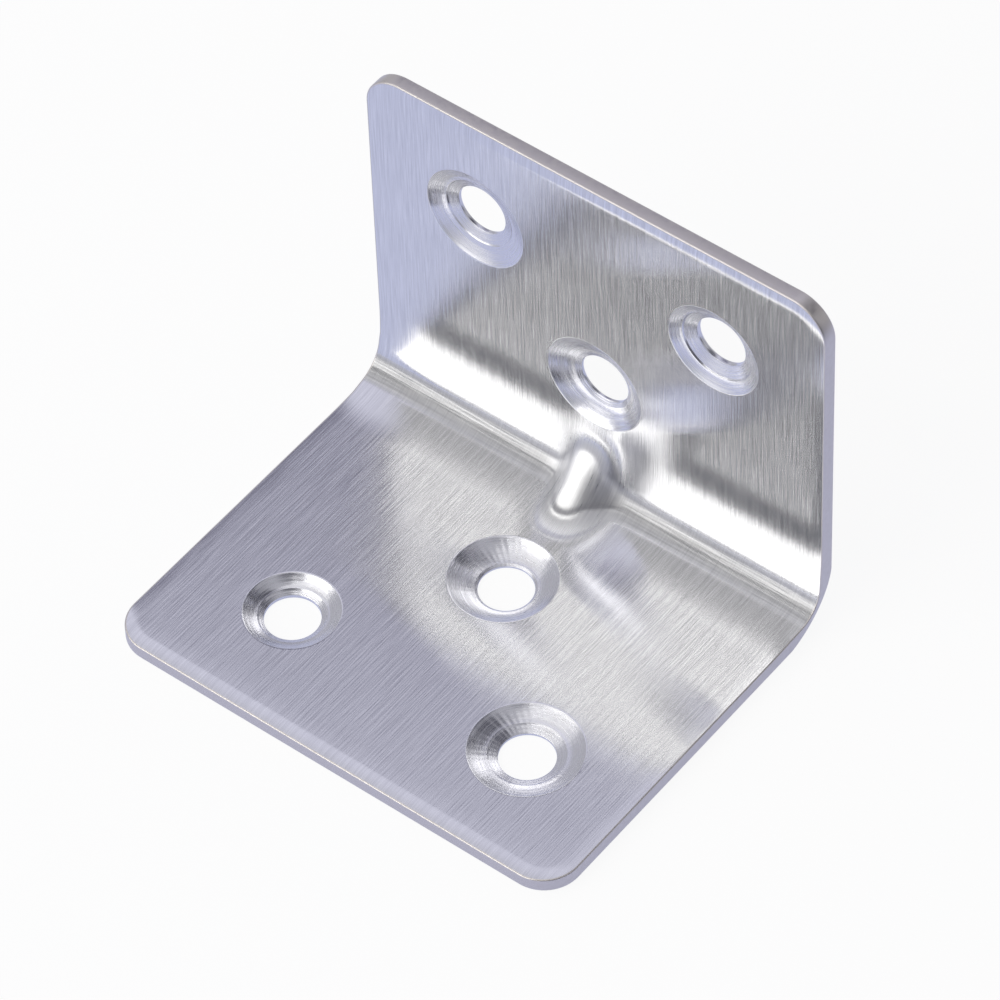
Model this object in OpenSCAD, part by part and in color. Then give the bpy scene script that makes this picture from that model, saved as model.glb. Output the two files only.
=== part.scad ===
// Angle bracket folded from one piece of stainless sheet, with six countersunk
// screw holes and a rib pressed across the bend.
// X runs along the bend. The base leg lies on Z = 0 and reaches towards -Y, the
// wall leg stands against Y = 0 and reaches towards +Z, and the origin is the heel,
// halfway along the line in which the two mounting faces would meet.

/* [Sheet] */
// Width of the bracket, along the bend
bracket_w = 50; // [40:0.5:80]
// Length of the base leg, from the heel to its free edge
base_leg = 41; // [34:0.5:80]
// Length of the wall leg, from the heel to its free edge
wall_leg = 40; // [34:0.5:80]
// Thickness of the sheet
sheet_t = 1.6; // [1.2:0.1:2]
// Radius of the four free corners
corner_r = 3.7; // [1:0.1:6]
// Radius of the rounding along the sheet's edges, on both faces
edge_r = 0.3; // [0.1:0.05:0.4]

/* [Bend] */
// Inside radius of the bend
bend_inner_r = 3.9; // [2:0.1:5]
// What the outside radius has beyond inside radius and sheet, because the metal thins there
bend_thinning = 0.5; // [0:0.1:0.8]

/* [Rib] */
// Distance from the inner corner to the ends of the ridge, along each leg
rib_reach = 6.9; // [6:0.1:8]
// Radius of the ridge
rib_ridge_r = 2.1; // [2.1:0.1:2.6]
// Half the angle between the flanks
rib_half_angle = 38; // [32:1:44]

/* [Screw holes] */
// Diameter of the screw holes
hole_d = 5.2; // [4:0.1:6]
// Straight wall that each countersink leaves
hole_land = 0.4; // [0.2:0.1:0.8]
// Distance from a side edge to the centres of the outer holes
side_margin = 11.75; // [9:0.25:13]
// Distance from a free edge to the centres of the outer holes
edge_margin = 11.5; // [9:0.25:12]
// Distance from the heel to the centre of the base leg's middle hole
base_middle = 15.4; // [15:0.1:17]
// Distance from the heel to the centre of the wall leg's middle hole
wall_middle = 14.9; // [14.5:0.1:17]

/* [Countersinks] */
// Diameter of the base leg's countersink at -X
base_left_sink_d = 8.9; // [8:0.1:11]
// Diameter of the base leg's countersink at +X
base_right_sink_d = 10.5; // [8:0.1:11]
// Diameter of the base leg's middle countersink
base_middle_sink_d = 10.1; // [8:0.1:11]
// Diameter of the wall leg's countersink at -X
wall_left_sink_d = 10.6; // [8:0.1:11]
// Diameter of the wall leg's countersink at +X
wall_right_sink_d = 9.6; // [8:0.1:11]
// Diameter of the wall leg's middle countersink
wall_middle_sink_d = 10.4; // [8:0.1:11]

/* [Hidden] */
$fn = 96;
// How far cutting shapes reach past what they cut
past = 1;
bend_outer_r = bend_inner_r + sheet_t + bend_thinning;
// The outer holes lie in pairs, at the same distance either side of the middle
hole_x = bracket_w / 2 - side_margin;
base_row = base_leg - edge_margin;
wall_row = wall_leg - edge_margin;
// Heights above the heel, measured square to the rib's ridge
rib_ridge_h = (rib_reach + 2 * sheet_t) / sqrt(2);
rib_centre_h = rib_ridge_h - rib_ridge_r;
// Length of the rib's prism, which runs out through both legs
rib_run = 4 * rib_ridge_h;
steel = [0.72, 0.72, 0.75];

// Block with its lower back edge rounded, centred on the YZ plane, with that edge's
// square corner on the X axis. It reaches towards -Y and +Z.
module rounded_block(width, length, height, r) {
    rotate([90, 0, -90]) linear_extrude(width, center = true) {
        translate([r, r]) circle(r = r);
        translate([r, 0]) square([length - r, height]);
        translate([0, r]) square([length, height - r]);
    }
}

// All that lies inside the bracket's two mounting faces
module outer_block() {
    rounded_block(bracket_w, base_leg, wall_leg, bend_outer_r);
}

// What the fold leaves empty between its legs
module inner_block() {
    translate([0, -sheet_t, sheet_t])
        rounded_block(bracket_w + 2 * past, base_leg, wall_leg, bend_inner_r);
}

// Prism of the rib's section: a round nose and two straight flanks that spread
// towards the heel. The ridge slopes at 45 degrees from one leg to the other.
module rib_prism(nose_r) {
    tangent_x = nose_r * cos(rib_half_angle);
    tangent_h = rib_centre_h + nose_r * sin(rib_half_angle);
    foot_x = tangent_x + (tangent_h + past) * tan(rib_half_angle);
    rotate([135, 0, 0]) {
        translate([0, rib_centre_h, -rib_run / 2]) cylinder(r = nose_r, h = rib_run);
        translate([0, 0, -rib_run / 2]) linear_extrude(rib_run) polygon([
            [-tangent_x, tangent_h],
            [tangent_x, tangent_h],
            [foot_x, -past],
            [-foot_x, -past]
        ]);
    }
}

// Screw hole through a leg that lies on Z = 0, countersunk from its upper face
module countersunk_hole(sink_d) {
    slope = (sink_d - hole_d) / 2 / (sheet_t - hole_land);
    translate([0, 0, -past]) cylinder(d = hole_d, h = hole_land + 2 * past);
    translate([0, 0, hole_land])
        cylinder(d1 = hole_d, d2 = sink_d + 2 * past * slope, h = sheet_t - hole_land + past);
}

// Takes the square corner off a leg that lies on Z = 0 and ends at the origin,
// with the leg towards -X and -Y
module corner_cut() {
    translate([-corner_r, -corner_r, -past]) difference() {
        cube([corner_r + past, corner_r + past, sheet_t + 2 * past]);
        translate([0, 0, -past]) cylinder(r = corner_r, h = sheet_t + 4 * past);
    }
}

// What is cut from a leg that lies on Z = 0, with its heel on the X axis and the
// leg towards +Y: the three holes and the two free corners
module leg_cuts(leg, row, middle, left_sink_d, right_sink_d, middle_sink_d) {
    translate([-hole_x, row, 0]) countersunk_hole(left_sink_d);
    translate([hole_x, row, 0]) countersunk_hole(right_sink_d);
    translate([0, middle, 0]) countersunk_hole(middle_sink_d);
    for (side = [0, 1])
        mirror([side, 0, 0]) translate([bracket_w / 2, leg, 0]) corner_cut();
}

// Section of what the rounding takes off an edge at the origin, with the metal
// towards +X and +Y
module edge_waste() {
    difference() {
        translate([-past, -past]) square(edge_r + past);
        translate([edge_r, edge_r]) circle(r = edge_r);
    }
}

// Waste round the outline of a leg's face at Z = 0, with the metal towards +Z. It
// runs from the bend, at Y = start, round the free corners at Y = leg.
module face_edge_waste(leg, start) {
    half_w = bracket_w / 2;
    for (side = [0, 1]) mirror([side, 0, 0]) {
        translate([half_w, start, 0]) rotate([90, 0, 180])
            linear_extrude(leg - corner_r - start) edge_waste();
        translate([half_w - corner_r, leg - corner_r, 0]) rotate_extrude(angle = 90)
            translate([corner_r, 0]) mirror([1, 0]) edge_waste();
        translate([half_w - corner_r, leg, 0]) rotate([90, 0, -90])
            linear_extrude(half_w - corner_r) edge_waste();
    }
}

// Waste along every edge of a leg that lies as in leg_cuts, on both faces
module leg_edge_waste(leg) {
    face_edge_waste(leg, bend_outer_r);
    translate([0, 0, sheet_t]) mirror([0, 0, 1])
        face_edge_waste(leg, sheet_t + bend_inner_r);
}

// Sweeps a section of waste round both ends of one face of the bend. The face has
// radius r and would meet its two legs' faces in the X axis if it were square.
module round_bend(r) {
    for (side = [0, 1]) mirror([side, 0, 0])
        translate([0, -r, r]) rotate([0, 90, 0]) rotate_extrude(angle = 90)
            translate([r, bracket_w / 2]) mirror([0, 1]) children();
}

module bracket() {
    color(steel) difference() {
        outer_block();
        difference() {
            inner_block();
            rib_prism(rib_ridge_r);
        }
        rib_prism(rib_ridge_r - sheet_t);
        mirror([0, 1, 0]) {
            leg_cuts(base_leg, base_row, base_middle,
                     base_left_sink_d, base_right_sink_d, base_middle_sink_d);
            leg_edge_waste(base_leg);
        }
        rotate([90, 0, 0]) {
            leg_cuts(wall_leg, wall_row, wall_middle,
                     wall_left_sink_d, wall_right_sink_d, wall_middle_sink_d);
            leg_edge_waste(wall_leg);
        }
        round_bend(bend_outer_r) mirror([1, 0]) edge_waste();
        translate([0, -sheet_t, sheet_t]) round_bend(bend_inner_r) edge_waste();
    }
}

bracket();
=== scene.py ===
"""Angle bracket folded from brushed stainless sheet, with its studio and its camera.

The bracket is made as it is in the works: a flat blank with rolled edges and turned
countersinks is drawn first, and a Geometry Nodes tree then presses the rib and folds it.
"""
import math
from typing import NamedTuple

import bmesh
import bpy
from mathutils import Matrix, Vector
from mathutils.geometry import delaunay_2d_cdt


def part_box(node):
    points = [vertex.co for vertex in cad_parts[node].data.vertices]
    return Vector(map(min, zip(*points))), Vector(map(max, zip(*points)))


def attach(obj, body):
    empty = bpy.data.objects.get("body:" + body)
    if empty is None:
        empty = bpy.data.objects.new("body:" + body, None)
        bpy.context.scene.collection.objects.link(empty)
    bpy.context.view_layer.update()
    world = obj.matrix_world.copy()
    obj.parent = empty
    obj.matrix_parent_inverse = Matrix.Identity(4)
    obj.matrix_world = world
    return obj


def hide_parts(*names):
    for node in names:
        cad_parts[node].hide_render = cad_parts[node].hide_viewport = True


bl_info = {
    "name": "Angle Bracket",
    "version": (1, 0, 0),
    "blender": (4, 5, 0),
    "location": "3D View > Sidebar > Bracket",
    "description": "Builds a folded stainless angle bracket and the studio it is seen in",
    "category": "Add Mesh",
}

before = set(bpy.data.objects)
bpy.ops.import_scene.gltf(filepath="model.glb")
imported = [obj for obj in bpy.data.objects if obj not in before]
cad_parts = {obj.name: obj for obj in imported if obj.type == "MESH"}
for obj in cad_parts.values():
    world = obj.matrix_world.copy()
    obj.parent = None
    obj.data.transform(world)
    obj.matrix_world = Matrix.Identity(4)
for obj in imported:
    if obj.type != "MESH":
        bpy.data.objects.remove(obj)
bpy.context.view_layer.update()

MM = 0.001
NODE = "bracket"
BODY = "root"
NODE_LOW, NODE_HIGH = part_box(NODE)
WIDTH = (NODE_HIGH[0] - NODE_LOW[0]) / MM
BASE_LEG = -NODE_LOW[1] / MM
WALL_LEG = NODE_HIGH[2] / MM

# Finishes of the blank's faces
BRUSHED, TURNED, SHEARED = range(3)
# Length of sheet, in millimetres, that one unit of the UV map stands for
UV_LENGTH = 50.0
# Points round each countersink
SINK_POINTS = 192
HOLE_R = 2.6
# Depth of a countersink's broken rim. The cutter's chatter starts below it.
LIP_DEPTH = 0.035
# A Mix node has sockets A and B for each kind of value. These are the numbers of the two colours.
COLOUR_A, COLOUR_B = 6, 7


class Sink(NamedTuple):
    """A countersunk hole. Lengths are in millimetres.

    land is the straight wall that is left. step_at is the step's place, from 0 at the rim to 1 at
    the hole. chatter_at is an angle in degrees, from +X towards the wall leg's free edge.
    """

    leg: int
    hole: tuple
    rim: tuple
    rim_d: float
    land: float
    step_at: float
    step_drop: float
    ring_depth: float
    chatter_at: float
    chatter_depth: float


# Places are given along the bend and from the heel. The cutter wandered a little in each
# hole, so no rim is quite over its hole, and each has its own depth, step and chatter.
SINKS = (
    Sink(-1, (-13.15, 29.47), (-13.02, 29.61), 8.9, 0.36, 0.72, 0.10, 0.010, 60, 0.002),
    Sink(-1, (13.40, 29.52), (13.49, 29.75), 10.5, 0.25, 0.66, 0.07, 0.008, 165, 0.010),
    Sink(-1, (0.10, 15.34), (-0.10, 15.50), 10.1, 0.22, 0.88, 0.02, 0.004, 115, 0.012),
    Sink(1, (-13.22, 28.54), (-13.10, 28.53), 10.6, 0.37, 0.62, 0.08, 0.006, 150, 0.004),
    Sink(1, (13.18, 28.55), (13.08, 28.30), 9.6, 0.50, 0.50, 0.16, 0.006, 130, 0.006),
    Sink(1, (0.10, 14.91), (-0.13, 15.12), 10.4, 0.30, 0.80, 0.04, 0.010, 280, 0.004),
)


def linear(hex_colour):
    """Turns an sRGB hex colour such as #B8B8C0 to linear red, green, blue and alpha."""
    channels = [int(hex_colour[i:i + 2], 16) / 255 for i in (1, 3, 5)]
    straight = [c / 12.92 if c <= 0.04045 else ((c + 0.055) / 1.055) ** 2.4 for c in channels]
    return (*straight, 1.0)


def add_node(tree, kind, inputs=None, **settings):
    """Adds a node. inputs maps a socket's name or number to a value or to another node's output."""
    node = tree.nodes.new(kind)
    for name, value in settings.items():
        setattr(node, name, value)
    for key, value in (inputs or {}).items():
        if isinstance(value, bpy.types.NodeSocket):
            tree.links.new(value, node.inputs[key])
        else:
            node.inputs[key].default_value = value
    return node


def length(name, description, default, least=0):
    """A length that the user can change. default and least are in millimetres."""
    return bpy.props.FloatProperty(
        name=name, description=description, default=default * MM, min=least * MM,
        unit="LENGTH", precision=5)


def colour_of(part, default, name):
    """A colour that the user can change, as sRGB hex."""
    return bpy.props.StringProperty(
        name=name, description=f"Colour of {part}, as sRGB hex", default=default)


class SheetSizes(bpy.types.PropertyGroup):
    """Sizes of the folded sheet."""

    thickness: length("Thickness", "Thickness of the sheet", 1.6, 0.5)
    corner_r: length("Corner radius", "Radius of the four free corners", 3.7, 2)
    inner_r: length("Inner bend radius", "Radius of the bend on its inner face", 3.9, 1)
    outer_r: length("Outer bend radius", "Radius of the bend on its outer face", 6.0, 2)
    nose_r: length("Nose radius", "Radius of the folding tool's nose", 2.6, 0.5)
    nose_share: bpy.props.FloatProperty(
        name="Nose share",
        description="Share of the fold made round the nose. The rest eases into the legs",
        default=0.79, min=0, max=0.9)
    nose_strip: length("Nose strip", "Half the width of the strip that the nose left dull", 1.6)
    roll_width: length("Roll width", "Width over which a free edge rolls away", 1.5, 0.5)
    roll_drop: length("Roll drop", "How far the face drops before its arris", 0.15)
    arris_r: length("Arris radius", "Radius of the tumbled arrises", 0.16, 0.02)
    pinch: length("End pinch", "How far the bend's ends squeeze out inside and draw in outside", 0.14)
    waviness: length("Waviness", "How far the legs stray from flat", 0.012)


class RibSizes(bpy.types.PropertyGroup):
    """Sizes of the rib that is pressed across the bend."""

    height: length("Ridge height", "Distance from the heel to the rib's ridge", 6.75, 5)
    offset: length("Offset", "How far the ridge lies from the middle of the bracket", -0.3, -5)
    spread: length(
        "Spread", "Distance from the ridge at which the inner face is down to 37 percent", 2.7, 1)
    skew: bpy.props.FloatProperty(
        name="Skew", description="Share by which the spread is more on the right and less on the left",
        default=0.12, min=0, max=0.5)
    crown: bpy.props.FloatProperty(
        name="Crown", description="Power of the rib's section. More than 2 gives a broader crown",
        default=2.6, min=2, max=4)
    narrowing: bpy.props.FloatProperty(
        name="Narrowing", description="What the spread loses for each unit of depth into the sheet",
        default=0.35, min=0)
    blend: length("Blend", "Height over which the ridge runs into the legs", 3.4, 0.1)
    tool_mark: length("Tool mark depth", "Depth of the lines that the folding tool left", 0.010)


class FinishSettings(bpy.types.PropertyGroup):
    """Colours of the steel's finishes."""

    brushed_light: colour_of("the bright brush lines", "#E2E2E4", "Brushed, light")
    brushed_dark: colour_of("the steel between the brush lines", "#C9C9CC", "Brushed, dark")
    turned: colour_of("the countersinks", "#D4D4DA", "Turned")
    sheared: colour_of("the sheet's edges", "#CEC9C6", "Sheared")


class StudioSettings(bpy.types.PropertyGroup):
    """Softboxes, table and surroundings."""

    key: bpy.props.FloatProperty(
        name="Key brightness", description="Radiance of the broad softbox at the front", default=2.6, min=0)
    top: bpy.props.FloatProperty(
        name="Top brightness", description="Radiance of the slim softbox above it", default=2.6, min=0)
    ceiling: bpy.props.FloatProperty(
        name="Ceiling brightness", description="Radiance of the wide softbox overhead", default=0.5, min=0)
    lamp_colour: colour_of("the softboxes", "#FFFEF8", "Lamp colour")
    table: colour_of("the table in reflections", "#DFE4FF", "Table")
    room: colour_of("the room's walls", "#BFBFC4", "Room")
    room_low: colour_of("the room under the softboxes", "#E4E4E8", "Room, low down")
    room_lilac: colour_of("the room high up at the back", "#E2E2F2", "Room, lilac part")
    room_dim: colour_of("the room halfway up at the back", "#7E7D90", "Room, dim side")
    room_gap: colour_of("the room between the softboxes", "#707076", "Room, gap")
    room_dark: colour_of("the unlit end at the right", "#4A4A54", "Room, dark side")


def stations(*stops):
    """Places along a line. Each stop is a place and the spacing up to the next stop."""
    places = []
    for (start, step), (end, _) in zip(stops, stops[1:]):
        count = max(1, round((end - start) / step))
        places += [start + (end - start) * i / count for i in range(count)]
    return [*places, stops[-1][0]]


class Blank:
    """The flat blank, in millimetres. X runs along the bend, Y along the sheet, and Z is up.

    Its upper face becomes the bracket's inner face.
    """

    def __init__(self, sheet):
        self.t = sheet.thickness / MM
        self.sheet = sheet
        self.bm = bmesh.new()
        self.finish = self.bm.faces.layers.int.new("finish")
        self.uv = self.bm.loops.layers.uv.new("grain")
        self.known = {}
        # Half the length of sheet that the bend takes up, halfway through the sheet
        reach = sheet.outer_r / MM
        inner_path = reach - self.t - sheet.inner_r / MM + sheet.inner_r / MM * math.pi / 4
        outer_path = reach * math.pi / 4
        self.reach = reach
        self.half_bend = (inner_path + outer_path) / 2
        self.low = -(BASE_LEG - reach + self.half_bend)
        self.high = WALL_LEG - reach + self.half_bend
        # The strip that becomes the bend also takes up a little of each leg, where the rib runs out
        self.strip = self.half_bend + 3.3
        self.inset = sheet.roll_width / MM

    def place(self, leg, from_heel):
        """Distance along the blank of a place on a leg, given from the heel."""
        return leg * (from_heel - self.reach + self.half_bend)

    def point(self, x, y, z):
        key = (round(x, 4), round(y, 4), round(z, 4))
        if key not in self.known:
            self.known[key] = self.bm.verts.new((x, y, z))
        return self.known[key]

    def face(self, corners, finish, grain=None):
        """Adds a face. grain gives each corner's place across and along the grain, in millimetres."""
        made = self.bm.faces.new(corners)
        made.smooth = True
        made[self.finish] = finish
        for i, loop in enumerate(made.loops):
            across, along = grain[i] if grain else loop.vert.co.xy
            loop[self.uv].uv = (across / UV_LENGTH, along / UV_LENGTH)

    def bridge(self, first, second, finish, grain=None):
        """Joins two rings of points with quads. grain(ring, i) gives a corner's place by the grain."""
        count = len(first)
        for i in range(count):
            j = (i + 1) % count
            corners = (first[i], second[i], second[j], first[j])
            places = (grain(0, i), grain(1, i), grain(1, i + 1), grain(0, i + 1)) if grain else None
            self.face(corners, finish, places)


def outline(blank):
    """The blank's outline as (place, outward normal, roll), counterclockwise from the lower right."""
    half = WIDTH / 2
    r = blank.sheet.corner_r / MM
    low, high = blank.low + r, blank.high - r
    side = stations((low, 1.5), (-blank.strip, 1), (blank.strip, 1.5), (high, 1))
    side = [y for y in side if not -blank.strip < y < blank.strip]
    side = sorted(side + rows(blank)[1:-1])
    across = stations((-half + r, 1.5), (half - r, 1))
    arc = [math.radians(90 * i / 16) for i in range(1, 16)]
    points = [((half, y), 0.0) for y in side]
    points += [((half - r + r * math.cos(a), high + r * math.sin(a)), a) for a in arc]
    points += [((x, blank.high), math.pi / 2) for x in reversed(across)]
    points += [((-half + r - r * math.sin(a), high + r * math.cos(a)), a + math.pi / 2) for a in arc]
    points += [((-half, y), math.pi) for y in reversed(side)]
    points += [((-half + r - r * math.cos(a), low - r * math.sin(a)), a + math.pi) for a in arc]
    points += [((x, blank.low), -math.pi / 2) for x in across]
    points += [((half - r + r * math.sin(a), low - r * math.cos(a)), a - math.pi / 2) for a in arc]
    # Side edges are sheared square, and roll away less than the free ends
    side_roll = 0.3
    bordered = []
    for place, a in points:
        roll = side_roll + (1 - side_roll) * math.sin(a) ** 2
        bordered.append((Vector(place), Vector((math.cos(a), math.sin(a))), roll))
    return bordered


def rows(blank):
    """Places of the rows of faces through the bend, closest where the folding tool left its marks."""
    b = blank.half_bend
    return stations(
        (-blank.strip, 0.2), (-b, 0.16), (-0.9, 0.08), (-0.3, 0.03),
        (0.3, 0.08), (0.9, 0.16), (b, 0.2), (blank.strip, 1))


def columns(blank):
    """Places of the columns of faces along the bend, closest at the rib and at the ends."""
    end = WIDTH / 2 - blank.inset
    return stations((-end, 0.3), (-20, 0.7), (-6, 0.2), (6, 0.7), (20, 0.3), (end, 1))


def add_bend_faces(blank):
    """Adds both faces of the strip that becomes the bend."""
    xs, ys = columns(blank), rows(blank)
    for z, up in ((blank.t, True), (0.0, False)):
        for x0, x1 in zip(xs, xs[1:]):
            for y0, y1 in zip(ys, ys[1:]):
                ring = [(x0, y0), (x1, y0), (x1, y1), (x0, y1)]
                if not up:
                    ring.reverse()
                blank.face([blank.point(x, y, z) for x, y in ring], BRUSHED)


def add_leg_face(blank, edge, leg, z, rings):
    """Adds one face of a leg, round its three holes. rings are the holes' (centre, radius)."""
    border = [p for p in edge if p.y * leg >= blank.strip - 1e-6]
    # The border runs on along the strip, so that both share their points
    start = [i for i, p in enumerate(border) if (border[i - 1] - p).length > 20]
    border = border[start[0]:] + border[:start[0]] if start else border
    strip = [Vector((x, leg * blank.strip)) for x in columns(blank)[1:-1]]
    border += sorted(strip, key=lambda p: p.x, reverse=leg < 0)
    points = list(border)
    edges = [(i, (i + 1) % len(border)) for i in range(len(border))]
    for centre, radius in rings:
        first = len(points)
        points += [centre + Vector((math.cos(a), math.sin(a))) * radius for a in turn()]
        edges += [(first + i, first + (i + 1) % SINK_POINTS) for i in range(SINK_POINTS)]
    spacing = 1.5
    clear = 0.8
    end = blank.low if leg < 0 else blank.high
    for x in stations((-WIDTH / 2 + blank.inset, spacing), (WIDTH / 2 - blank.inset, 1))[1:-1]:
        low, high = sorted((leg * blank.strip, end - leg * blank.inset))
        for y in stations((low, spacing), (high, 1))[1:-1]:
            p = Vector((x, y))
            inside = corner_distance(blank, p) > clear
            if inside and all((p - centre).length > radius + clear for centre, radius in rings):
                points.append(p)
    made, _, faces, *_ = delaunay_2d_cdt(points, edges, [], 0, 1e-5)
    for corners in faces:
        middle = sum((made[i] for i in corners), Vector((0, 0))) / len(corners)
        if any((middle - centre).length < radius - 1e-3 for centre, radius in rings):
            continue
        ring = [blank.point(*made[i], z) for i in corners]
        blank.face(ring if z > 0 else ring[::-1], BRUSHED)


def corner_distance(blank, p):
    """How far a point lies inside the rounded end of its leg, less the width of the rolled edge."""
    r = blank.sheet.corner_r / MM
    end = blank.high if p.y > 0 else -blank.low
    over = Vector((max(abs(p.x) - WIDTH / 2 + r, 0), max(abs(p.y) - end + r, 0)))
    return r - blank.inset - over.length


def turn():
    """Angles round a countersink."""
    return [2 * math.pi * i / SINK_POINTS for i in range(SINK_POINTS)]


def add_edges(blank, border):
    """Adds the rolled and tumbled edge of the sheet, from its inner face round to its outer face."""
    sheet, t = blank.sheet, blank.t
    roll, arris = sheet.roll_drop / MM, sheet.arris_r / MM
    # Each step of the profile is how far it lies in from the edge, its drop and its depth
    profile = []
    for i in range(8):
        share = i / 7
        profile.append((blank.inset + (arris - blank.inset) * share, roll * share ** 2, 0.0))
    slope = math.atan(2 * roll / (blank.inset - arris))
    for i in range(1, 6):
        a = slope + (math.pi / 2 - slope) * i / 5
        profile.append((arris * (1 - math.sin(a)), roll, arris * (math.cos(slope) - math.cos(a))))
    lower = 1.3 * arris
    for i in range(6):
        a = math.pi / 2 * i / 5
        profile.append((lower * (1 - math.cos(a)), 0.0, t - lower * (1 - math.sin(a))))
    profile += [(0.5 * blank.inset, 0.0, t), (blank.inset, 0.0, t)]
    arris_starts, arris_ends = 7, 7 + 5 + 6
    around = [0.0]
    for (p, _, _), (q, _, _) in zip(border, border[1:] + border[:1]):
        around.append(around[-1] + (q - p).length)
    rings = []
    for inset, dropped, depth in profile:
        ring = []
        for place, normal, share in border:
            p = place - normal * inset
            ring.append(blank.point(p.x, p.y, t - dropped * share - depth if depth < t else 0.0))
        rings.append(ring)
    for k, (first, second) in enumerate(zip(rings, rings[1:])):
        sheared = arris_starts <= k < arris_ends - 1
        depths = (profile[k][2], profile[k + 1][2])
        blank.bridge(
            first, second, SHEARED if sheared else BRUSHED,
            (lambda ring, i, d=depths: (around[i], -d[ring])) if sheared else None)


def sink_profile(blank, sink):
    """Rings of a countersink as (radius, depth, share of the way from the rim's centre to the hole's)."""
    rim_r = sink.rim_d / 2
    floor = blank.t - sink.land
    step_r = HOLE_R + (rim_r - HOLE_R) * (1 - sink.step_at)
    step_depth = (floor - sink.step_drop) * sink.step_at
    # Widths of the broken rim and of the ledge at the step
    lip, ledge = 0.03, 0.04
    rings = [(rim_r + 0.15, 0.0), (rim_r + 0.05, 0.0), (rim_r + 0.01, 0.01), (rim_r - lip, LIP_DEPTH)]
    outer, inner = 14, 8
    # More than 1 makes the outer cone hollow
    dish = 1.35
    for i in range(1, outer + 1):
        share = i / outer
        groove = sink.ring_depth * (
            math.sin(9.3 * share * sink.rim_d) + 0.6 * math.sin(23 * share + sink.rim_d))
        r = rim_r - lip + (step_r + 0.06 - rim_r + lip) * share
        dished = 1 - (1 - share) ** dish
        depth = LIP_DEPTH + (step_depth - LIP_DEPTH) * dished
        rings.append((r, depth + groove * math.sin(math.pi * share)))
    start = step_depth + sink.step_drop
    rings.append((step_r, step_depth + 0.5 * sink.step_drop))
    rings.append((step_r - ledge, start))
    for i in range(1, inner + 1):
        share = i / inner
        groove = sink.ring_depth * math.sin(17 * share + sink.rim_d) * math.sin(math.pi * share)
        r = step_r - ledge + (HOLE_R + ledge - step_r + ledge) * share
        rings.append((r, start + (floor - 0.02 - start) * share + groove))
    rings += [(HOLE_R + 0.01, floor), (HOLE_R, floor + 0.04), (HOLE_R, blank.t - 0.06)]
    rings += [(HOLE_R + 0.02, blank.t - 0.02), (HOLE_R + 0.07, blank.t), (HOLE_R + 0.3, blank.t)]
    profile = []
    for r, depth in rings:
        share = (rim_r - r) / (rim_r - HOLE_R) if depth < floor else 1.0
        profile.append((r, depth, min(1.0, max(0.0, share))))
    return profile


def chatter(sink, angle, share):
    """How far the chattering cutter dug in at an angle, deepest halfway down the cone."""
    teeth = 44
    away = (math.degrees(angle) - sink.chatter_at + 180) % 360 - 180
    window = math.exp(-(away / 38) ** 2) + 0.25
    wave = math.sin(teeth * angle + 5 * share) + 0.5 * math.sin(17 * angle + sink.rim_d)
    return sink.chatter_depth * window * wave * math.sin(math.pi * share) ** 0.5


def add_sink(blank, sink):
    """Adds a countersunk hole's wall, from the inner face to the outer face."""
    hole = Vector((sink.hole[0], blank.place(sink.leg, sink.hole[1])))
    rim = Vector((sink.rim[0], blank.place(sink.leg, sink.rim[1])))
    profile = sink_profile(blank, sink)
    floor = blank.t - sink.land
    rings, slant = [], [0.0]
    for r, depth, share in profile:
        centre = rim.lerp(hole, share)
        ring = []
        for a in turn():
            dug = chatter(sink, a, share) if LIP_DEPTH < depth < floor else 0.0
            x, y = centre.x + r * math.cos(a), centre.y + r * math.sin(a)
            ring.append(blank.point(x, y, blank.t - min(depth + dug, blank.t)))
        rings.append(ring)
    for (r0, d0, _), (r1, d1, _) in zip(profile, profile[1:]):
        slant.append(slant[-1] + math.hypot(r1 - r0, d1 - d0))
    step = 2 * math.pi * (sink.rim_d / 2) / SINK_POINTS
    for k, (first, second) in enumerate(zip(rings, rings[1:])):
        flat = profile[k + 1][1] <= 0.0 or profile[k][1] >= blank.t
        if flat:
            blank.bridge(first, second, BRUSHED)
        else:
            blank.bridge(first, second, TURNED, lambda ring, i, k=k: (slant[k + ring], i * step))


def build_blank(sheet):
    """Draws the flat blank as one closed mesh, in metres."""
    blank = Blank(sheet)
    border = outline(blank)
    inset = [place - normal * blank.inset for place, normal, _ in border]
    add_bend_faces(blank)
    for leg in (-1, 1):
        sinks = [s for s in SINKS if s.leg == leg]
        rims, holes = [], []
        for s in sinks:
            rims.append((Vector((s.rim[0], blank.place(leg, s.rim[1]))), s.rim_d / 2 + 0.15))
            holes.append((Vector((s.hole[0], blank.place(leg, s.hole[1]))), HOLE_R + 0.3))
        add_leg_face(blank, inset, leg, blank.t, rims)
        add_leg_face(blank, inset, leg, 0.0, holes)
    add_edges(blank, border)
    for sink in SINKS:
        add_sink(blank, sink)
    seams = {v for e in blank.bm.edges if len(e.link_faces) == 1 for v in e.verts}
    bmesh.ops.remove_doubles(blank.bm, verts=list(seams), dist=0.001)
    open_edges = [e for e in blank.bm.edges if len(e.link_faces) != 2]
    if open_edges:
        where = sorted({tuple(round(c, 2) for c in e.verts[0].co) for e in open_edges})[:6]
        raise RuntimeError(f"the blank has {len(open_edges)} open edges, near {where}")
    blank.bm.transform(Matrix.Scale(MM, 4))
    mesh = bpy.data.meshes.new("bracket_blank")
    blank.bm.to_mesh(mesh)
    blank.bm.free()
    return mesh, blank.half_bend * MM


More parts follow.
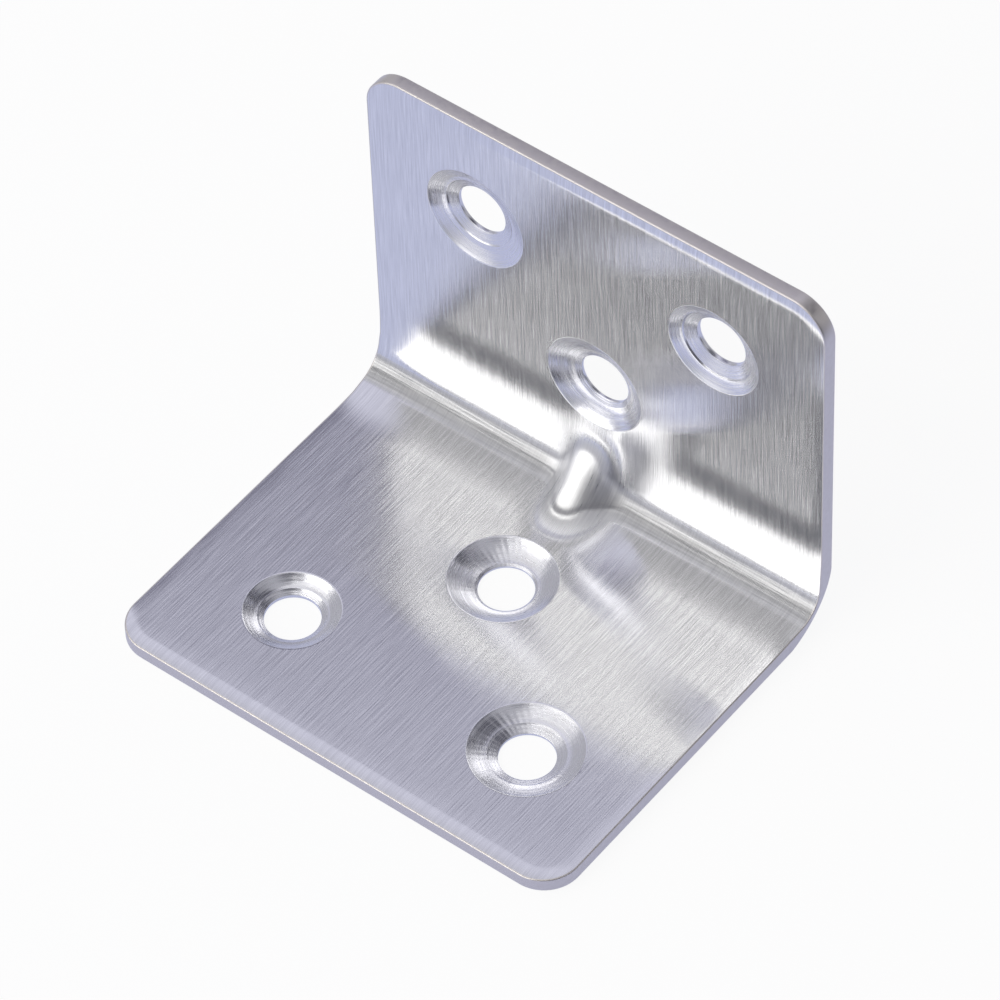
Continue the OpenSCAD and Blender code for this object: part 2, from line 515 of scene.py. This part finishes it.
def fillet_path_tree():
    """Group that gives a place on two straight lines and the fillet between them, seen along the bend."""
    tree = bpy.data.node_groups.new("Fillet path", "GeometryNodeTree")
    for name in ("Distance", "Corner", "Radius"):
        tree.interface.new_socket(name, in_out="INPUT", socket_type="NodeSocketFloat")
    tree.interface.new_socket("Place", in_out="OUTPUT", socket_type="NodeSocketVector")
    given = add_node(tree, "NodeGroupInput").outputs
    distance, radius = given["Distance"], given["Radius"]
    turned = add_node(tree, "ShaderNodeMath", {0: distance, 1: radius}, operation="DIVIDE")
    angle = add_node(
        tree, "ShaderNodeClamp", {"Value": turned.outputs[0], "Min": -math.pi / 4, "Max": math.pi / 4})
    along = add_node(tree, "ShaderNodeMath", {0: angle.outputs[0], 1: radius}, operation="MULTIPLY")
    straight = add_node(tree, "ShaderNodeMath", {0: distance, 1: along.outputs[0]}, operation="SUBTRACT")
    down = add_node(tree, "ShaderNodeMath", {0: radius, 1: -1.0}, operation="MULTIPLY")
    arm = add_node(tree, "ShaderNodeCombineXYZ", {"Y": straight.outputs[0], "Z": down.outputs[0]})
    swung = add_node(
        tree, "ShaderNodeVectorRotate", {"Vector": arm.outputs[0], "Angle": angle.outputs[0]},
        rotation_type="X_AXIS")
    side = add_node(tree, "ShaderNodeMath", {0: given["Corner"], 1: radius}, operation="ADD")
    centre = add_node(tree, "ShaderNodeMath", {0: side.outputs[0], 1: math.sqrt(2)}, operation="MULTIPLY")
    lift = add_node(tree, "ShaderNodeCombineXYZ", {"Z": centre.outputs[0]})
    place = add_node(
        tree, "ShaderNodeVectorMath", {0: swung.outputs[0], 1: lift.outputs[0]}, operation="ADD")
    add_node(tree, "NodeGroupOutput", {"Place": place.outputs[0]})
    return tree


FOLD_INPUTS = (
    "Thickness", "Inner radius", "Outer radius", "Nose radius", "Nose share", "Half bend", "Half width",
    "Ridge height", "Ridge offset", "Spread", "Skew", "Crown", "Narrowing", "Blend", "Tool mark", "Pinch",
    "Waviness",
)


def fold_tree(materials):
    """The tree that presses the rib into the flat blank and folds it at a right angle."""
    tree = bpy.data.node_groups.new("Press and fold", "GeometryNodeTree")
    tree.interface.new_socket("Blank", in_out="INPUT", socket_type="NodeSocketGeometry")
    for name in FOLD_INPUTS:
        tree.interface.new_socket(name, in_out="INPUT", socket_type="NodeSocketFloat")
    tree.interface.new_socket("Bracket", in_out="OUTPUT", socket_type="NodeSocketGeometry")
    given = add_node(tree, "NodeGroupInput").outputs
    position = add_node(tree, "GeometryNodeInputPosition").outputs[0]
    kept = add_node(
        tree, "GeometryNodeStoreNamedAttribute",
        {"Geometry": given["Blank"], "Name": "flat", "Value": position},
        data_type="FLOAT_VECTOR", domain="POINT")
    flat = add_node(tree, "ShaderNodeSeparateXYZ", {0: position}).outputs
    sheet_t, half_bend = given["Thickness"], given["Half bend"]
    share = add_node(tree, "ShaderNodeMath", {0: flat["Z"], 1: sheet_t}, operation="DIVIDE").outputs[0]
    depth = add_node(tree, "ShaderNodeMath", {0: sheet_t, 1: flat["Z"]}, operation="SUBTRACT").outputs[0]

    # The bend: how far a place lies past it, and how far round it, from -1 to 1
    low = add_node(tree, "ShaderNodeMath", {0: half_bend, 1: -1.0}, operation="MULTIPLY").outputs[0]
    within = add_node(
        tree, "ShaderNodeClamp", {"Value": flat["Y"], "Min": low, "Max": half_bend}).outputs[0]
    past = add_node(tree, "ShaderNodeMath", {0: flat["Y"], 1: within}, operation="SUBTRACT").outputs[0]
    turned = add_node(tree, "ShaderNodeMath", {0: within, 1: half_bend}, operation="DIVIDE").outputs[0]

    # The outer face follows one fillet. The inner face mixes a wide one and a tight one, so that it
    # eases into the legs. Together they come to its own radius.
    nose_r, nose_share = given["Nose radius"], given["Nose share"]
    tight = add_node(tree, "ShaderNodeMath", {0: nose_r, 1: nose_share}, operation="MULTIPLY").outputs[0]
    rest = add_node(
        tree, "ShaderNodeMath", {0: given["Inner radius"], 1: tight}, operation="SUBTRACT").outputs[0]
    remainder = add_node(tree, "ShaderNodeMath", {0: 1.0, 1: nose_share}, operation="SUBTRACT").outputs[0]
    wide = add_node(tree, "ShaderNodeMath", {0: rest, 1: remainder}, operation="DIVIDE").outputs[0]
    path = fillet_path_tree()
    fillets = []
    for radius, corner, fillet_r in (
        ("Outer radius", 0.0, given["Outer radius"]),
        ("Inner radius", sheet_t, wide),
        ("Inner radius", sheet_t, nose_r),
    ):
        # Half the face's own length through the bend: its arc, and its straight run up to the outer arc
        arc = add_node(
            tree, "ShaderNodeMath", {0: given[radius], 1: math.pi / 4 - 1, 2: given["Outer radius"]},
            operation="MULTIPLY_ADD").outputs[0]
        arc = add_node(tree, "ShaderNodeMath", {0: arc, 1: corner}, operation="SUBTRACT").outputs[0]
        distance = add_node(
            tree, "ShaderNodeMath", {0: turned, 1: arc, 2: past}, operation="MULTIPLY_ADD").outputs[0]
        inputs = {"Distance": distance, "Radius": fillet_r, "Corner": corner}
        fillets.append(add_node(tree, "GeometryNodeGroup", inputs, node_tree=path).outputs[0])
    outer, eased, nose = fillets
    inner = add_node(
        tree, "ShaderNodeMix", {"Factor": nose_share, 4: eased, 5: nose}, data_type="VECTOR").outputs[1]
    folded = add_node(tree, "ShaderNodeMix", {"Factor": share, 4: outer, 5: inner}, data_type="VECTOR")
    place = add_node(tree, "ShaderNodeSeparateXYZ", {0: folded.outputs[1]}).outputs

    # The rib: each section is lifted up to the ridge's line, most at the ridge and less down its flanks
    ridge = add_node(
        tree, "ShaderNodeMath", {0: given["Ridge height"], 1: depth}, operation="SUBTRACT").outputs[0]
    short = add_node(tree, "ShaderNodeMath", {0: ridge, 1: place["Z"]}, operation="SUBTRACT").outputs[0]
    lift = add_node(
        tree, "ShaderNodeMath", {0: short, 1: 0.0, 2: given["Blend"]}, operation="SMOOTH_MAX").outputs[0]
    from_ridge = add_node(
        tree, "ShaderNodeMath", {0: flat["X"], 1: given["Ridge offset"]}, operation="SUBTRACT").outputs[0]
    off_middle = add_node(tree, "ShaderNodeMath", {0: flat["X"]}, operation="ABSOLUTE").outputs[0]
    narrower = add_node(
        tree, "ShaderNodeMath", {0: depth, 1: given["Narrowing"]}, operation="MULTIPLY").outputs[0]
    spread = add_node(
        tree, "ShaderNodeMath", {0: given["Spread"], 1: narrower}, operation="SUBTRACT").outputs[0]
    less, more = (
        add_node(tree, "ShaderNodeMath", {0: 1.0, 1: given["Skew"]}, operation=operation).outputs[0]
        for operation in ("SUBTRACT", "ADD"))
    skewed = add_node(
        tree, "ShaderNodeMapRange",
        {"Value": from_ridge, "From Min": -2 * MM, "From Max": 2 * MM, "To Min": less, "To Max": more},
        interpolation_type="SMOOTHSTEP").outputs[0]
    spread = add_node(tree, "ShaderNodeMath", {0: spread, 1: skewed}, operation="MULTIPLY").outputs[0]
    # Bell-shaped section: e to the power of -(distance / spread)^crown
    away = add_node(tree, "ShaderNodeMath", {0: from_ridge, 1: spread}, operation="DIVIDE").outputs[0]
    away = add_node(tree, "ShaderNodeMath", {0: away}, operation="ABSOLUTE").outputs[0]
    power = add_node(tree, "ShaderNodeMath", {0: away, 1: given["Crown"]}, operation="POWER").outputs[0]
    minus = add_node(tree, "ShaderNodeMath", {0: power, 1: -1.0}, operation="MULTIPLY").outputs[0]
    bell = add_node(tree, "ShaderNodeMath", {0: minus}, operation="EXPONENT").outputs[0]
    pressed = add_node(
        tree, "ShaderNodeMath", {0: lift, 1: bell, 2: place["Z"]}, operation="MULTIPLY_ADD").outputs[0]

    # Lines that the folding tool left along the middle of the bend's inner face. One unit of the noise
    # is 5.6 mm along the bend and 0.14 mm across it.
    mark_place = add_node(
        tree, "ShaderNodeVectorMath", {0: position, 1: (180, 7000, 0)}, operation="MULTIPLY").outputs[0]
    lines = add_node(
        tree, "ShaderNodeTexNoise", {"Vector": mark_place, "Scale": 1.0, "Detail": 1.0}).outputs[0]
    middle = add_node(tree, "ShaderNodeMath", {0: flat["Y"]}, operation="ABSOLUTE").outputs[0]
    marked = add_node(
        tree, "ShaderNodeMapRange",
        {"Value": middle, "From Min": 0.6 * MM, "From Max": 0.2 * MM}).outputs[0]
    inner_only = add_node(tree, "ShaderNodeMath", {0: share, 1: 0.9}, operation="GREATER_THAN").outputs[0]
    # The rib's tool wiped them out round the rib, a little further on the left
    wiped = add_node(tree, "ShaderNodeMath", {0: flat["X"], 1: 2 * MM}, operation="ADD").outputs[0]
    wiped = add_node(tree, "ShaderNodeMath", {0: wiped}, operation="ABSOLUTE").outputs[0]
    clear = add_node(
        tree, "ShaderNodeMapRange",
        {"Value": wiped, "From Min": 5.2 * MM, "From Max": 6.2 * MM}).outputs[0]
    not_at_ends = add_node(
        tree, "ShaderNodeMapRange",
        {"Value": off_middle, "From Min": 22.8 * MM, "From Max": 21.5 * MM}).outputs[0]
    digs = add_node(tree, "ShaderNodeMath", {0: lines, 1: 0.5}, operation="SUBTRACT").outputs[0]
    for factor in (marked, inner_only, clear, not_at_ends, given["Tool mark"], 4.0):
        digs = add_node(tree, "ShaderNodeMath", {0: digs, 1: factor}, operation="MULTIPLY").outputs[0]
    pressed = add_node(tree, "ShaderNodeMath", {0: pressed, 1: digs}, operation="ADD").outputs[0]

    # The bend's ends: the inner fibres squeeze out and up, the outer ones draw in
    square = add_node(tree, "ShaderNodeMath", {0: turned, 1: turned}, operation="MULTIPLY").outputs[0]
    bent = add_node(tree, "ShaderNodeMath", {0: 1.0, 1: square}, operation="SUBTRACT").outputs[0]
    from_middle = add_node(
        tree, "ShaderNodeMath", {0: off_middle, 1: given["Half width"]}, operation="DIVIDE").outputs[0]
    near_end = add_node(tree, "ShaderNodeMath", {0: from_middle, 1: 16.0}, operation="POWER").outputs[0]
    squeeze = bent
    for factor in (near_end, given["Pinch"]):
        squeeze = add_node(
            tree, "ShaderNodeMath", {0: squeeze, 1: factor}, operation="MULTIPLY").outputs[0]
    inward = add_node(
        tree, "ShaderNodeMapRange", {"Value": share, "To Min": -1.5, "To Max": 1.0}).outputs[0]
    sideways = add_node(tree, "ShaderNodeMath", {0: squeeze, 1: inward}, operation="MULTIPLY").outputs[0]
    side = add_node(tree, "ShaderNodeMath", {0: flat["X"]}, operation="SIGN").outputs[0]
    x = add_node(
        tree, "ShaderNodeMath", {0: sideways, 1: side, 2: flat["X"]}, operation="MULTIPLY_ADD").outputs[0]
    lifted = add_node(
        tree, "ShaderNodeMath", {0: squeeze, 1: share, 2: pressed}, operation="MULTIPLY_ADD").outputs[0]

    # The legs stray from flat by a hair, both faces alike. One unit of the noise is 14 mm.
    stray_place = add_node(
        tree, "ShaderNodeVectorMath", {0: position, 1: (70, 70, 0)}, operation="MULTIPLY").outputs[0]
    stray = add_node(
        tree, "ShaderNodeTexNoise", {"Vector": stray_place, "Scale": 1.0, "Detail": 1.0}).outputs[0]
    stray = add_node(tree, "ShaderNodeMath", {0: stray, 1: 0.5}, operation="SUBTRACT").outputs[0]
    stray = add_node(
        tree, "ShaderNodeMath", {0: stray, 1: given["Waviness"]}, operation="MULTIPLY").outputs[0]
    height = add_node(
        tree, "ShaderNodeMath", {0: stray, 1: 2.0, 2: lifted}, operation="MULTIPLY_ADD").outputs[0]

    slanted = add_node(tree, "ShaderNodeCombineXYZ", {"X": x, "Y": place["Y"], "Z": height}).outputs[0]
    upright = add_node(
        tree, "ShaderNodeVectorRotate", {"Vector": slanted, "Angle": math.pi / 4}, rotation_type="X_AXIS")
    moved = add_node(
        tree, "GeometryNodeSetPosition", {"Geometry": kept.outputs[0], "Position": upright.outputs[0]})
    whole = add_node(tree, "GeometryNodeRealizeInstances", {"Geometry": moved.outputs[0]}).outputs[0]
    finish = add_node(
        tree, "GeometryNodeInputNamedAttribute", {"Name": "finish"}, data_type="INT").outputs[0]
    for number, material in materials.items():
        chosen = add_node(
            tree, "FunctionNodeCompare", {2: finish, 3: number}, data_type="INT", operation="EQUAL")
        whole = add_node(
            tree, "GeometryNodeSetMaterial",
            {"Geometry": whole, "Selection": chosen.outputs[0], "Material": material}).outputs[0]
    add_node(tree, "NodeGroupOutput", {"Bracket": whole})
    return tree


# A noise texture hardly strays outside these values
NOISE_SPAN = {"From Min": 0.3, "From Max": 0.7}


def new_material(name):
    """Starts a material, and gives it with its empty tree."""
    material = bpy.data.materials.new(name)
    material.use_nodes = True
    material.node_tree.nodes.clear()
    return material, material.node_tree


def add_metal(tree, sockets):
    """Adds the metal's Principled node, with these values and outputs on its sockets."""
    metal = add_node(tree, "ShaderNodeBsdfPrincipled", {"Metallic": 1.0, **sockets})
    add_node(tree, "ShaderNodeOutputMaterial", {"Surface": metal.outputs[0]})


def brushed_stainless(finish, strip):
    """Stainless steel, brushed square to the bend. strip is half the width that the tool left dull.

    The eye gets fine straight lines, highlights that spread across the lines, a dull strip in the bend
    with thin lines along it, and softer reflections on the rib.
    """
    material, tree = new_material("brushed_stainless")
    flat = add_node(tree, "ShaderNodeAttribute", attribute_name="flat").outputs["Vector"]
    heights = []
    # Grit 180 leaves lines about 0.08 mm apart, drawn here at 0.16 mm so that they show, with
    # broader ones among them
    for across, along in ((0.16, 5.0), (0.5, 13.0)):
        place = add_node(
            tree, "ShaderNodeMapping", {"Vector": flat, "Scale": (1 / (across * MM), 1 / (along * MM), 0)})
        heights.append(add_node(
            tree, "ShaderNodeTexNoise",
            {"Vector": place.outputs[0], "Scale": 1.0, "Detail": 2.0, "Roughness": 0.6}).outputs[0])
    lines = add_node(
        tree, "ShaderNodeMix", {"Factor": 0.22, "A": heights[0], "B": heights[1]},
        data_type="FLOAT").outputs[0]
    spread = add_node(tree, "ShaderNodeMapRange", {"Value": lines, **NOISE_SPAN}).outputs[0]
    colour = add_node(
        tree, "ShaderNodeMix",
        {"Factor": spread, COLOUR_A: linear(finish.brushed_dark), COLOUR_B: linear(finish.brushed_light)},
        data_type="RGBA").outputs[2]
    # The folding tool's strip. It lies a little towards the base leg, and stops short of the rib.
    axes = add_node(tree, "ShaderNodeSeparateXYZ", {0: flat}).outputs
    rubbed = 1.0
    for place, shift, full, none in (
        (axes["Y"], 0.45 * MM, 0.65 * strip, 1.3 * strip),
        (axes["X"], 0.3 * MM, 5.2 * MM, 2.2 * MM),
    ):
        off = add_node(tree, "ShaderNodeMath", {0: place, 1: shift}, operation="ADD").outputs[0]
        off = add_node(tree, "ShaderNodeMath", {0: off}, operation="ABSOLUTE").outputs[0]
        part = add_node(
            tree, "ShaderNodeMapRange", {"Value": off, "From Min": none, "From Max": full},
            interpolation_type="SMOOTHSTEP").outputs[0]
        rubbed = add_node(tree, "ShaderNodeMath", {0: part, 1: rubbed}, operation="MULTIPLY").outputs[0]
    # In it, the steel is scuffed along the bend, in lines about 0.2 mm apart
    place = add_node(
        tree, "ShaderNodeMapping", {"Vector": flat, "Scale": (1 / (9 * MM), 1 / (0.2 * MM), 0)})
    scuffs = add_node(
        tree, "ShaderNodeTexNoise",
        {"Vector": place.outputs[0], "Scale": 1.0, "Detail": 1.0}).outputs[0]
    scuffed = add_node(
        tree, "ShaderNodeMapRange",
        {"Value": scuffs, **NOISE_SPAN, "To Min": 0.40, "To Max": 0.52}).outputs[0]
    rough = add_node(
        tree, "ShaderNodeMapRange",
        {"Value": lines, **NOISE_SPAN, "To Min": 0.12, "To Max": 0.175}).outputs[0]
    # The punch left the rib duller as well, out to about 5 mm at its sides and 7 mm at its ends
    near = add_node(
        tree, "ShaderNodeVectorMath", {0: flat, 1: (1 / (6.0 * MM), 1 / (8.0 * MM), 0)},
        operation="MULTIPLY")
    near = add_node(tree, "ShaderNodeVectorMath", {0: near.outputs[0]}, operation="LENGTH").outputs["Value"]
    dulled = add_node(
        tree, "ShaderNodeMapRange", {"Value": near, "From Min": 0.6, "From Max": 1.2,
                                     "To Min": 2.1, "To Max": 1.0}).outputs[0]
    rough = add_node(tree, "ShaderNodeMath", {0: rough, 1: dulled}, operation="MULTIPLY").outputs[0]
    rough = add_node(
        tree, "ShaderNodeMix", {"Factor": rubbed, "A": rough, "B": scuffed}, data_type="FLOAT").outputs[0]
    height = add_node(
        tree, "ShaderNodeMix", {"Factor": rubbed, "A": lines, "B": scuffs}, data_type="FLOAT").outputs[0]
    bump = add_node(
        tree, "ShaderNodeBump", {"Strength": 1.0, "Distance": 0.016 * MM, "Height": height}).outputs[0]
    tangent = add_node(tree, "ShaderNodeTangent", direction_type="UV_MAP", uv_map="grain").outputs[0]
    add_metal(tree, {"Base Color": colour, "Roughness": rough, "Normal": bump, "Tangent": tangent,
                     "Anisotropic": 1.0})
    return material


def turned_stainless(finish):
    """Stainless steel, turned by the countersinking tool.

    The eye gets bright rings, and highlights that fan out from the hole.
    """
    material, tree = new_material("turned_stainless")
    uv = add_node(tree, "ShaderNodeUVMap", uv_map="grain").outputs[0]
    # Feed lines 0.05 mm apart, drawn at 0.12 mm so that they show
    place = add_node(
        tree, "ShaderNodeMapping", {"Vector": uv, "Scale": (UV_LENGTH / 0.12, UV_LENGTH / 5.0, 0)})
    rings = add_node(
        tree, "ShaderNodeTexNoise",
        {"Vector": place.outputs[0], "Scale": 1.0, "Detail": 2.0, "Roughness": 0.5}).outputs[0]
    rough = add_node(
        tree, "ShaderNodeMapRange",
        {"Value": rings, **NOISE_SPAN, "To Min": 0.20, "To Max": 0.34}).outputs[0]
    bump = add_node(
        tree, "ShaderNodeBump", {"Strength": 0.7, "Distance": 0.01 * MM, "Height": rings}).outputs[0]
    tangent = add_node(tree, "ShaderNodeTangent", direction_type="UV_MAP", uv_map="grain").outputs[0]
    add_metal(tree, {"Base Color": linear(finish.turned), "Roughness": rough, "Normal": bump,
                     "Tangent": tangent, "Anisotropic": 0.6})
    return material


def sheared_stainless(finish):
    """Stainless steel, sheared and then tumbled.

    The eye gets a duller, finely mottled edge.
    """
    material, tree = new_material("sheared_stainless")
    place = add_node(tree, "ShaderNodeTexCoord").outputs["Object"]
    grain = add_node(
        tree, "ShaderNodeTexNoise", {"Vector": place, "Scale": 1 / (0.5 * MM), "Detail": 3.0}).outputs[0]
    rough = add_node(
        tree, "ShaderNodeMapRange",
        {"Value": grain, **NOISE_SPAN, "To Min": 0.34, "To Max": 0.48}).outputs[0]
    bump = add_node(
        tree, "ShaderNodeBump", {"Strength": 0.4, "Distance": 0.02 * MM, "Height": grain}).outputs[0]
    add_metal(tree, {"Base Color": linear(finish.sheared), "Roughness": rough, "Normal": bump})
    return material


class BRACKET_OT_sheet(bpy.types.Operator):
    """Build the bracket: draw its blank, press the rib, fold it, and finish the steel"""

    bl_idname = "bracket.sheet"
    bl_label = "Build bracket"

    def execute(self, context):
        sheet = context.scene.bracket_sheet
        rib = context.scene.bracket_rib
        finish = context.scene.bracket_finish
        mesh, half_bend = build_blank(sheet)
        draft = bpy.data.objects.new("bracket_draft", mesh)
        context.scene.collection.objects.link(draft)
        materials = {
            BRUSHED: brushed_stainless(finish, sheet.nose_strip),
            TURNED: turned_stainless(finish),
            SHEARED: sheared_stainless(finish),
        }
        modifier = draft.modifiers.new("Press and fold", "NODES")
        modifier.node_group = fold_tree(materials)
        values = {
            "Thickness": sheet.thickness, "Inner radius": sheet.inner_r, "Outer radius": sheet.outer_r,
            "Nose radius": sheet.nose_r, "Nose share": sheet.nose_share,
            "Half bend": half_bend, "Half width": WIDTH / 2 * MM,
            "Ridge height": rib.height, "Ridge offset": rib.offset, "Spread": rib.spread,
            "Skew": rib.skew, "Crown": rib.crown, "Narrowing": rib.narrowing,
            "Blend": rib.blend, "Tool mark": rib.tool_mark,
            "Pinch": sheet.pinch, "Waviness": sheet.waviness,
        }
        for item in modifier.node_group.interface.items_tree:
            if item.in_out == "INPUT" and item.name in values:
                modifier[item.identifier] = values[item.name]
        graph = context.evaluated_depsgraph_get()
        folded = bpy.data.meshes.new_from_object(draft.evaluated_get(graph), depsgraph=graph)
        bpy.data.objects.remove(draft)
        folded.name = "bracket_folded"
        folded.set_sharp_from_angle(angle=math.radians(35))
        bracket = bpy.data.objects.new("bracket_folded", folded)
        context.scene.collection.objects.link(bracket)
        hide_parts(NODE)
        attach(bracket, BODY)
        return {"FINISHED"}


# Softboxes, each as its lower and upper edge in degrees and its reach to the left and right
SOFTBOXES = {
    "key": (16, 46.6, -1.20, 0.05),
    "top": (56.6, 61, -1.30, 0.30),
    "ceiling": (61, 94, -1.30, 0.30),
}


def add_softbox(name, low, high, left, right, radiance, colour):
    """Adds a flat lamp with its edges along X, aimed at the bracket. radiance is how bright it looks.

    low and high are the elevations of its edges in degrees, seen along the bend. left and right say
    how far it reaches along X, as a share of its distance.
    """
    distance = 0.8
    middle, half = math.radians((low + high) / 2), math.radians((high - low) / 2)
    data = bpy.data.lights.new(name, "AREA")
    data.shape = "RECTANGLE"
    data.size = (right - left) * distance
    data.size_y = 2 * math.tan(half) * distance
    data.energy = radiance * math.pi * data.size * data.size_y
    data.color = linear(colour)[:3]
    lamp = bpy.data.objects.new(name, data)
    bpy.context.scene.collection.objects.link(lamp)
    out = Vector(((left + right) / 2, -math.cos(middle), math.sin(middle)))
    lamp.location = Vector((0, -15 * MM, 12 * MM)) + out * distance
    lamp.rotation_euler = (math.pi / 2 - middle, 0, 0)
    lamp.visible_camera = False


def add_table(studio):
    """Small pale table top. The camera sees it white, with the bracket's soft shadow."""
    side = 0.16
    gap = 0.03 * MM
    mesh = bpy.data.meshes.new("table")
    corners = [(-side, -side, -gap), (side, -side, -gap), (side, side, -gap), (-side, side, -gap)]
    mesh.from_pydata(corners, [], [(0, 1, 2, 3)])
    table = bpy.data.objects.new("table", mesh)
    bpy.context.scene.collection.objects.link(table)
    material, tree = new_material("matt_white_board")
    rays = add_node(tree, "ShaderNodeLightPath").outputs
    through = add_node(
        tree, "ShaderNodeMath", {0: rays["Is Glossy Ray"], 1: rays["Is Transmission Ray"]},
        operation="MAXIMUM")
    # What the table gives off by itself. The rest is light that falls on it, and holds the bracket's
    # shadow, which reflections keep more of than the camera does.
    glow_share, in_reflections = 0.9, 0.85
    dimmer = add_node(
        tree, "ShaderNodeMath", {0: through.outputs[0], 1: in_reflections}, operation="MULTIPLY")
    seen = add_node(
        tree, "ShaderNodeMath", {0: rays["Is Camera Ray"], 1: dimmer.outputs[0]}, operation="MAXIMUM")
    colour = add_node(
        tree, "ShaderNodeMix",
        {"Factor": rays["Is Camera Ray"], COLOUR_A: linear(studio.table), COLOUR_B: linear("#FFFFFF")},
        data_type="RGBA").outputs[2]
    board = add_node(tree, "ShaderNodeBsdfDiffuse", {"Color": colour})
    glow = add_node(tree, "ShaderNodeEmission", {"Color": colour, "Strength": 1.0})
    share = add_node(tree, "ShaderNodeMath", {0: seen.outputs[0], 1: glow_share}, operation="MULTIPLY")
    both = add_node(
        tree, "ShaderNodeMixShader", {0: share.outputs[0], 1: board.outputs[0], 2: glow.outputs[0]})
    add_node(tree, "ShaderNodeOutputMaterial", {"Surface": both.outputs[0]})
    mesh.materials.append(material)


# Parts of the room that differ from its walls, the later ones in front of the earlier ones. Each has
# its direction, the cosines of the angles from it at which it starts and is full, and its colour.
ROOM_PARTS = (
    ((-0.417, -0.584, 0.696), 0.86, 0.97, "room_gap"),
    ((-0.42, -0.91, 0.00), 0.80, 0.98, "room_low"),
    ((-0.42, 0.50, 0.76), 0.80, 0.97, "room_lilac"),
    ((-0.50, 0.633, 0.59), 0.962, 0.974, "room_dim"),
    ((1.00, -0.10, -0.10), 0.75, 0.93, "room_dark"),
    ((0.55, -0.68, 0.49), 0.86, 0.95, "room_dark"),
    ((0.37, 0.46, 0.81), 0.92, 0.98, "room_dark"),
)
ROOM_STRENGTH = 1.1


def set_world(studio):
    """The room round the table: bright low at the front, lilac and dim at the back, dark at the right."""
    world = bpy.data.worlds.new("room")
    bpy.context.scene.world = world
    world.use_nodes = True
    tree = world.node_tree
    tree.nodes.clear()
    looking = add_node(tree, "ShaderNodeTexCoord").outputs["Generated"]
    colour = linear(studio.room)
    for direction, start, full, part in ROOM_PARTS:
        towards = add_node(
            tree, "ShaderNodeVectorMath", {0: looking, 1: direction}, operation="DOT_PRODUCT")
        share = add_node(
            tree, "ShaderNodeMapRange",
            {"Value": towards.outputs["Value"], "From Min": start, "From Max": full}).outputs[0]
        colour = add_node(
            tree, "ShaderNodeMix",
            {"Factor": share, COLOUR_A: colour, COLOUR_B: linear(getattr(studio, part))},
            data_type="RGBA").outputs[2]
    room = add_node(tree, "ShaderNodeBackground", {"Color": colour, "Strength": ROOM_STRENGTH})
    backdrop = add_node(tree, "ShaderNodeBackground", {"Color": linear("#FFFFFF"), "Strength": 1.0})
    rays = add_node(tree, "ShaderNodeLightPath").outputs
    both = add_node(
        tree, "ShaderNodeMixShader", {0: rays["Is Camera Ray"], 1: room.outputs[0], 2: backdrop.outputs[0]})
    add_node(tree, "ShaderNodeOutputWorld", {"Surface": both.outputs[0]})


# The camera was worked out from the photo: place and turn in degrees, lens in millimetres
CAMERA_AZIMUTH = 39.58
CAMERA_ELEVATION = 49.15
CAMERA_ROLL = -2.41
CAMERA_DISTANCE = 570.0
CAMERA_AIM = (2.65, -18.79, 17.35)
CAMERA_LENS = 235.0


def add_camera():
    """Long lens from the front right, high up."""
    data = bpy.data.cameras.new("camera")
    data.sensor_width = 36.0
    data.lens = CAMERA_LENS
    camera = bpy.data.objects.new("camera", data)
    bpy.context.scene.collection.objects.link(camera)
    a, e = math.radians(CAMERA_AZIMUTH), math.radians(CAMERA_ELEVATION)
    back = Vector((math.sin(a) * math.cos(e), -math.cos(a) * math.cos(e), math.sin(e)))
    camera.location = (Vector(CAMERA_AIM) + back * CAMERA_DISTANCE) * MM
    level = (-back).to_track_quat("-Z", "Y").to_matrix()
    roll = Matrix.Rotation(math.radians(CAMERA_ROLL), 3, "Z")
    camera.rotation_mode = "QUATERNION"
    camera.rotation_quaternion = (level @ roll).to_quaternion()
    bpy.context.scene.camera = camera


class BRACKET_OT_stage(bpy.types.Operator):
    """Set up the pale table, the room, the softboxes and the camera"""

    bl_idname = "bracket.stage"
    bl_label = "Set up studio"

    def execute(self, context):
        studio = context.scene.bracket_studio
        context.scene.view_settings.view_transform = "Standard"
        add_table(studio)
        set_world(studio)
        for name, edges in SOFTBOXES.items():
            add_softbox(f"{name}_softbox", *edges, getattr(studio, name), studio.lamp_colour)
        add_camera()
        return {"FINISHED"}


class BRACKET_PT_panel(bpy.types.Panel):
    """Lists the bracket's operators and settings"""

    bl_idname = "BRACKET_PT_panel"
    bl_label = "Angle Bracket"
    bl_space_type = "VIEW_3D"
    bl_region_type = "UI"
    bl_category = "Bracket"

    def draw(self, context):
        for operator, settings in (
            (BRACKET_OT_sheet, (context.scene.bracket_sheet, context.scene.bracket_rib,
                                context.scene.bracket_finish)),
            (BRACKET_OT_stage, (context.scene.bracket_studio,)),
        ):
            box = self.layout.box()
            for group in settings:
                for name in group.__annotations__:
                    box.prop(group, name)
            box.operator(operator.bl_idname)


GROUPS = {
    "bracket_sheet": SheetSizes,
    "bracket_rib": RibSizes,
    "bracket_finish": FinishSettings,
    "bracket_studio": StudioSettings,
}
CLASSES = (*GROUPS.values(), BRACKET_OT_sheet, BRACKET_OT_stage, BRACKET_PT_panel)


def register():
    for cls in CLASSES:
        bpy.utils.register_class(cls)
    for name, group in GROUPS.items():
        setattr(bpy.types.Scene, name, bpy.props.PointerProperty(type=group))


def unregister():
    for name in GROUPS:
        delattr(bpy.types.Scene, name)
    for cls in reversed(CLASSES):
        bpy.utils.unregister_class(cls)


def main():
    register()
    bpy.ops.bracket.stage()
    bpy.ops.bracket.sheet()


if __name__ == "__main__":
    main()
